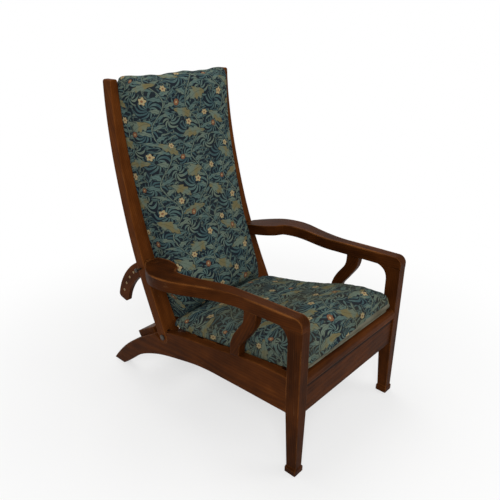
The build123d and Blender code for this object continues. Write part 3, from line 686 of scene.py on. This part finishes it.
def group_of(piece, name, chosen):
    group = piece.vertex_groups.new(name=name)
    group.add([v.index for v in piece.data.vertices if chosen(v)], 1.0, "REPLACE")
    return group


def remeshed(piece, lining):
    """Gives the piece a skin of small even quads and eases all but its lining, which lies flat."""
    skin = piece.modifiers.new("Skin", "REMESH")
    skin.mode = "VOXEL"
    skin.voxel_size = voxel
    apply_modifier(piece, skin)
    group_of(piece, "cover", lambda v: v.normal.dot(lining) < eased_below)
    ease = piece.modifiers.new("Ease", "SMOOTH")
    ease.factor = 0.5
    ease.iterations = 5
    ease.vertex_group = "cover"
    apply_modifier(piece, ease)
    print(piece.name, "remeshed:", len(piece.data.vertices), "points,", extent(piece))


print("skins are made of quads of", voxel, "m")

# %% [markdown]
# A stuffed pad leans on whatever wood is beside it. The part next to its lining is moved outwards
# in code until it meets the rails or posts, by a share that eases off towards the middle and the
# top of the pad.

# %% Room beside the wood
narrowest_half = 0.1
side_share = 0.7


def eased(value, low, high):
    """0 below low and 1 above high, with an eased rise between."""
    share = min(1.0, max(0.0, (value - low) / (high - low)))
    return share * share * (3 - 2 * share)


def filled_out(piece, depth_below, half_room, reach=0.035):
    """Widens the part of a pad next to its lining until it leans on the wood at both sides."""
    half = {}
    for vertex in piece.data.vertices:
        along, below = depth_below(vertex.co)
        half.setdefault(along, 0.0)
        if below < reach / 2:
            half[along] = max(half[along], abs(vertex.co.x))
    for vertex in piece.data.vertices:
        along, below = depth_below(vertex.co)
        room = half_room(vertex.co) - half[along]
        share = eased(abs(vertex.co.x) / max(half[along], narrowest_half), side_share, 1.0)
        share *= 1.0 - eased(below, 0.0, reach)
        vertex.co.x += math.copysign(room * share, vertex.co.x)
    print(piece.name, "filled out", extent(piece))


print("half way up, an eased rise stands at", eased(0.5, 0.0, 1.0))

# %% [markdown]
# Stuffing presses a cover outwards everywhere alike, which is what the cloth modifier's pressure
# does. The lining is held, as it lies flat on the slats, and the cover starts a little slack. The
# simulation only says how far each point moves, and a cap keeps that inside the cushion's room.
# The modifier is removed once its last frame is read, so nothing is left to simulate.

# %% Blown-up covers
sewn_below = 0.72
most_rise = 0.009


def crown(piece, lining, steps=20, cap=most_rise, sink=0.003, shrink=0.006, side_room=0.002):
    """Blows the cover up like a pillow while its lining, sewn round the edge, stays flat."""
    cover = [v.normal.dot(lining) < sewn_below for v in piece.data.vertices]
    places = [v.co.copy() for v in piece.data.vertices]
    normals = [v.normal.copy() for v in piece.data.vertices]
    for vertex, place, normal, free in zip(piece.data.vertices, places, normals, cover):
        vertex.co = place - normal * (shrink if free else 0.0)
    held = group_of(piece, "seam", lambda v: not cover[v.index])
    swell = piece.modifiers.new("Swell", "CLOTH")
    swell.settings.vertex_group_mass = held.name
    swell.settings.use_pressure = True
    swell.settings.uniform_pressure_force = 4.0
    swell.settings.effector_weights.gravity = 0.0
    swell.settings.tension_stiffness = 18.0
    swell.settings.compression_stiffness = 14.0
    swell.settings.bending_stiffness = 0.8
    swell.settings.shrink_min = -0.03
    swell.point_cache.frame_start = 1
    swell.point_cache.frame_end = steps
    for step in range(1, steps + 1):
        bpy.context.scene.frame_set(step)
    blown = piece.evaluated_get(bpy.context.evaluated_depsgraph_get()).data
    ends = [v.co.copy() for v in blown.vertices]
    piece.modifiers.remove(swell)
    rises = []
    for vertex, first, last, normal, free in zip(piece.data.vertices, places, ends, normals, cover):
        rise = (last - first).dot(normal)
        slide = (last - first) - normal * rise
        room = side_room + (cap - side_room) * (1.0 - min(1.0, abs(normal.x) * 1.4))
        rise = min(room, max(-sink, rise))
        vertex.co = first + (normal * rise + slide * 0.3 if free else Vector())
        rises.append(rise)
    bpy.context.scene.frame_set(1)
    print(piece.name, "crowned:", sum(cover), "free points, rises", round(min(rises), 4), "to",
          round(max(rises), 4), extent(piece))


print("a cover rises by", most_rise, "m at most")

# %% [markdown]
# The print needs a flat map in metres, or its leaves would stretch. Over a pad's face the map is
# just the place across and along the pad. Down its sides the depth below the top is added, as if
# the cloth were folded over the edge.

# %% Cloth map
fold_across = (0.75, 0.97)
fold_along = (0.8, 0.98)


def cloth_map(piece, measure):
    """Lays the cloth on the piece in metres. measure gives a point's place across and along the
    piece, each from its middle, the half sizes both ways, and how far it lies below the top."""
    layer = piece.data.uv_layers.new(name="cloth")
    laid = []
    for vertex in piece.data.vertices:
        across, along, half_across, half_along, below = measure(vertex.co)
        over_side = eased(abs(across) / half_across, *fold_across)
        over_end = eased(abs(along) / half_along, *fold_along)
        laid.append((across + math.copysign(over_side * below, across),
                     along + math.copysign(over_end * below, along)))
    for corner in piece.data.loops:
        layer.data[corner.index].uv = laid[corner.vertex_index]
    print(piece.name, "cloth laid over", len(laid), "points")


print("the cloth folds over from", fold_across[0], "of a pad's half width")

# %% [markdown]
# The seat pad is a wedge: thick over the front rail, where it turns down in a round nose, and
# thin at the rear. It lies on the slats, which slope back by eight degrees.

# %% Seat pad
seat_slope = math.radians(8.43)
seat_front_height = 0.381
half_depth = 0.4955
seat_front_level = seat_front_height - half_depth * math.tan(seat_slope)
seat_along = Vector((0.0, math.cos(seat_slope), -math.sin(seat_slope)))
seat_up = Vector((0.0, math.sin(seat_slope), math.cos(seat_slope)))


def seat_level(y):
    return seat_front_level - y * math.tan(seat_slope)


seat_low, seat_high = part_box("seat_cushion")
seat_pad = copy_of_node("seat_cushion", "seat_pad")
remeshed(seat_pad, -seat_up)
crown(seat_pad, -seat_up)
print("the seat slopes by", round(math.degrees(seat_slope), 2), "degrees")

# %% [markdown]
# Between the front posts the pad has a little less room than between the rails behind them. Its
# front corners are worn soft: they sink, draw in and lie back a few millimetres near the top.

# %% Seat pad between its posts and rails
half_room_at_posts = 0.2682
more_room_behind = 0.0035
seat_band = 0.02
corner_sink = 0.005
corner_draw = 0.004
corner_lean = 0.005
rear_reach = 0.008
off_the_slats = 0.0004


def seat_room(co):
    return half_room_at_posts + more_room_behind * eased(co.y, -0.44, -0.40)


def over_slats(co):
    return co.z - seat_level(co.y)


filled_out(seat_pad, lambda co: (round(co.y / seat_band), over_slats(co)), seat_room)
for vertex in seat_pad.data.vertices:
    above = over_slats(vertex.co)
    corner = eased(abs(vertex.co.x), 0.17, 0.262) * (1.0 - eased(vertex.co.y, -0.46, -0.33))
    soft = corner * eased(above, 0.03, 0.08)
    vertex.co.z -= corner_sink * corner * eased(above, 0.04, 0.09)
    vertex.co.x -= math.copysign(corner_draw * soft, vertex.co.x)
    vertex.co.y += corner_lean * soft + rear_reach * eased(vertex.co.y, 0.04, 0.12)
    vertex.co.z = max(vertex.co.z, seat_level(vertex.co.y) + off_the_slats)
print(seat_pad.name, "shaped", extent(seat_pad))

# %% [markdown]
# The print runs over the seat and down its nose. Low on the front the plain lining turns up round
# the pad, more at the right end than at the left, so it is told by place and not by slope.

# %% Seat pad's cloth
front_thickness = 0.076
thickness_lost = 0.045
nose_back = -0.455


def seat_measure(co):
    middle_y = (seat_low.y + seat_high.y) / 2
    offset = co - Vector((0.0, middle_y, seat_level(middle_y)))
    thick = front_thickness - thickness_lost * eased(offset.y, -0.2, 0.2)
    return (offset.x, offset.dot(seat_along), seat_high.x, (seat_high.y - seat_low.y) / 2,
            max(0.0, thick - offset.dot(seat_up)))


def under_nose(co):
    """True low on the front, where the plain lining turns up round the pad."""
    turn_up = 0.010 + 0.024 * eased(co.x, -0.25, 0.2)
    return co.y < nose_back and over_slats(co) < turn_up


cloth_map(seat_pad, seat_measure)

# %% [markdown]
# The back pad follows the bowed posts. Its lining lies against the slats, so the simulation
# holds that side and lets the front and the edges fill out. The line of the lining, band by band
# from foot to top, is noted before that.

# %% Back pad
back_low, back_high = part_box("back_cushion")
back_pad = copy_of_node("back_cushion", "back_pad")
back_lining = Vector((0.0, 0.94, -0.34))
remeshed(back_pad, back_lining)
band_height = 0.03
rear_line = {}
for vertex in back_pad.data.vertices:
    band = int(vertex.co.z / band_height)
    rear_line[band] = max(rear_line.get(band, -1.0), vertex.co.y)
crown(back_pad, back_lining)
print("the lining runs through", len(rear_line), "bands")

# %% [markdown]
# The posts stand wider apart towards the top, and the pad fills the room between them. Its top is
# rucked, as loose stuffing settles in lumps, and the left top corner stands up against its post.
# Its foot hangs down behind the seat pad, the corners most.

# %% Back pad between its posts
half_room_at_floor = 0.2305
room_per_metre_up = 0.0185
end_zone = 0.07
ruck_height = 0.0022
corner_lift = 0.009
foot_hang = 0.008
foot_corner_hang = 0.012


def lining_band(band):
    """The band itself, or the nearest one that the pad has."""
    return min(max(band, min(rear_line)), max(rear_line))


def before_slats(co):
    band = lining_band(int(co.z / band_height))
    return band, rear_line[band] - co.y


filled_out(back_pad, before_slats, lambda co: half_room_at_floor + room_per_metre_up * co.z)
for vertex in back_pad.data.vertices:
    near_top = eased(vertex.co.z, back_high.z - end_zone, back_high.z)
    ruck = math.sin(vertex.co.x * 33.0 + 0.8) + 0.6 * math.sin(vertex.co.x * 79.0 + 4.6)
    left_corner = eased(-vertex.co.x, 0.18, 0.24)
    vertex.co.z += near_top * (ruck_height * ruck + corner_lift * left_corner)
    near_foot = 1.0 - eased(vertex.co.z, back_low.z, back_low.z + end_zone)
    corners = eased(abs(vertex.co.x), 0.14, 0.22)
    vertex.co.z -= near_foot * (foot_hang + foot_corner_hang * corners)
print(back_pad.name, "shaped", extent(back_pad))

# %% [markdown]
# The pad leans and bows, so the way along it is a little longer than its height, and its thickness
# is measured from the line of the lining, eased between one band and the next.

# %% Back pad's cloth
back_thickness = 0.072
way_per_height = 1.04
depth_per_run = 0.96


def back_measure(co):
    band = co.z / band_height - 0.5
    first = int(band)
    share = band - first
    near, far = (rear_line[lining_band(step)] for step in (first, first + 1))
    rear = near * (1 - share) + far * share
    middle = (back_low.z + back_high.z) / 2
    return (co.x, (co.z - middle) * way_per_height, back_high.x, (back_high.z - back_low.z) / 2,
            max(0.0, back_thickness - (rear - co.y) * depth_per_run))


cloth_map(back_pad, back_measure)

# %% [markdown]
# The cord round a lining starts as one flat face. Its corners are rounded, the face itself goes,
# and the loop of edges that is left becomes a curve with a round bevel, then a mesh.

# %% Piping
piping_radius = 0.0036


def piping(name, lay, body, round_corner=0.12, cuts=14):
    """A cord that lay puts in place: it turns a point of a square from -1 to 1 into one in space."""
    bpy.ops.object.select_all(action="DESELECT")
    bpy.ops.mesh.primitive_plane_add(size=2.0)
    cord = bpy.context.object
    cord.name = name
    bpy.ops.object.mode_set(mode="EDIT")
    bpy.ops.mesh.select_all(action="SELECT")
    bpy.ops.mesh.bevel(offset=round_corner, segments=5, affect="VERTICES")
    bpy.ops.mesh.delete(type="ONLY_FACE")
    bpy.ops.mesh.select_all(action="DESELECT")
    bpy.ops.object.mode_set(mode="OBJECT")
    for edge in cord.data.edges:
        ends = [cord.data.vertices[index].co for index in edge.vertices]
        edge.select = (ends[0] - ends[1]).length > 1.0
    bpy.ops.object.mode_set(mode="EDIT")
    bpy.ops.mesh.subdivide(number_cuts=cuts)
    bpy.ops.object.mode_set(mode="OBJECT")
    for vertex in cord.data.vertices:
        vertex.co = lay(vertex.co.x, vertex.co.y)
    bpy.ops.object.convert(target="CURVE")
    cord = bpy.context.object
    cord.data.bevel_depth = piping_radius
    cord.data.bevel_resolution = 3
    bpy.ops.object.convert(target="MESH")
    bpy.ops.object.shade_smooth()
    cord = bpy.context.object
    cord.data.materials.append(lining_linen)
    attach(cord, body)
    print(name, "has", len(cord.data.polygons), "faces,", extent(cord))


print("piping of radius", piping_radius, "m")

# %% [markdown]
# The cords have to lie on the edge of each lining, which isn't straight. So the half width of the
# lining is read off the pad in narrow bands, and the cord keeps two of its radii inside that.

# %% Piping round both linings
lining_middle_above = 0.9
y_axis = 1
z_axis = 2


def edge_reach(piece, axis, lining):
    """Half width of a pad's lining in narrow bands along an axis."""
    reach = {}
    for polygon in piece.data.polygons:
        if polygon.normal.dot(lining) > lining_middle_above:
            band = round(polygon.center[axis] / band_height)
            reach[band] = max(reach.get(band, 0.0), abs(polygon.center.x) + voxel / 2)
    return reach


def half_at(reach, place):
    """Half width at a place, less the room that the cord takes."""
    band = min(max(round(place / band_height), min(reach)), max(reach))
    return reach[band] - 2 * piping_radius


seat_reach = edge_reach(seat_pad, y_axis, -seat_up)
back_reach = edge_reach(back_pad, z_axis, back_lining)
seat_front_edge = -0.4725
seat_rear_edge = 0.1215
back_foot_edge = back_low.z + 0.03
back_head_edge = back_high.z - 0.02


def on_seat_edge(across, along):
    y = seat_front_edge + (along + 1) / 2 * (seat_rear_edge - seat_front_edge)
    return Vector((across * half_at(seat_reach, y), y, seat_level(y) + piping_radius))


def on_back_edge(across, along):
    z = back_foot_edge + (along + 1) / 2 * (back_head_edge - back_foot_edge)
    rear = rear_line[lining_band(int(z / band_height))]
    return Vector((across * half_at(back_reach, z), rear - piping_radius, z))


piping("seat_piping", on_seat_edge, "frame")
piping("back_piping", on_back_edge, "back")

# %% [markdown]
# Both pads get one level of smoothing, ride on their own bodies and take the solids' places. The
# first material is the print, the second the lining.

# %% Put the pads in place
lining_above = 0.85
for piece, node, body, fill, lining, cover_cloth in (
    (seat_pad, "seat_cushion", "frame", 0.7, -seat_up, seat_cloth),
    (back_pad, "back_cushion", "back", 0.6, back_lining, back_cloth),
):
    piece.data.materials.clear()
    piece.data.materials.append(cover_cloth)
    piece.data.materials.append(lining_linen)
    for polygon in piece.data.polygons:
        polygon.use_smooth = True
        turned_up = piece is seat_pad and under_nose(polygon.center)
        plain = polygon.normal.dot(lining) > lining_above or turned_up
        polygon.material_index = 1 if plain else 0
    fine = piece.modifiers.new("Fine", "SUBSURF")
    fine.levels = fine.render_levels = 1
    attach(piece, body)
    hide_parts(node)
    print(piece.name, "stands for", node)
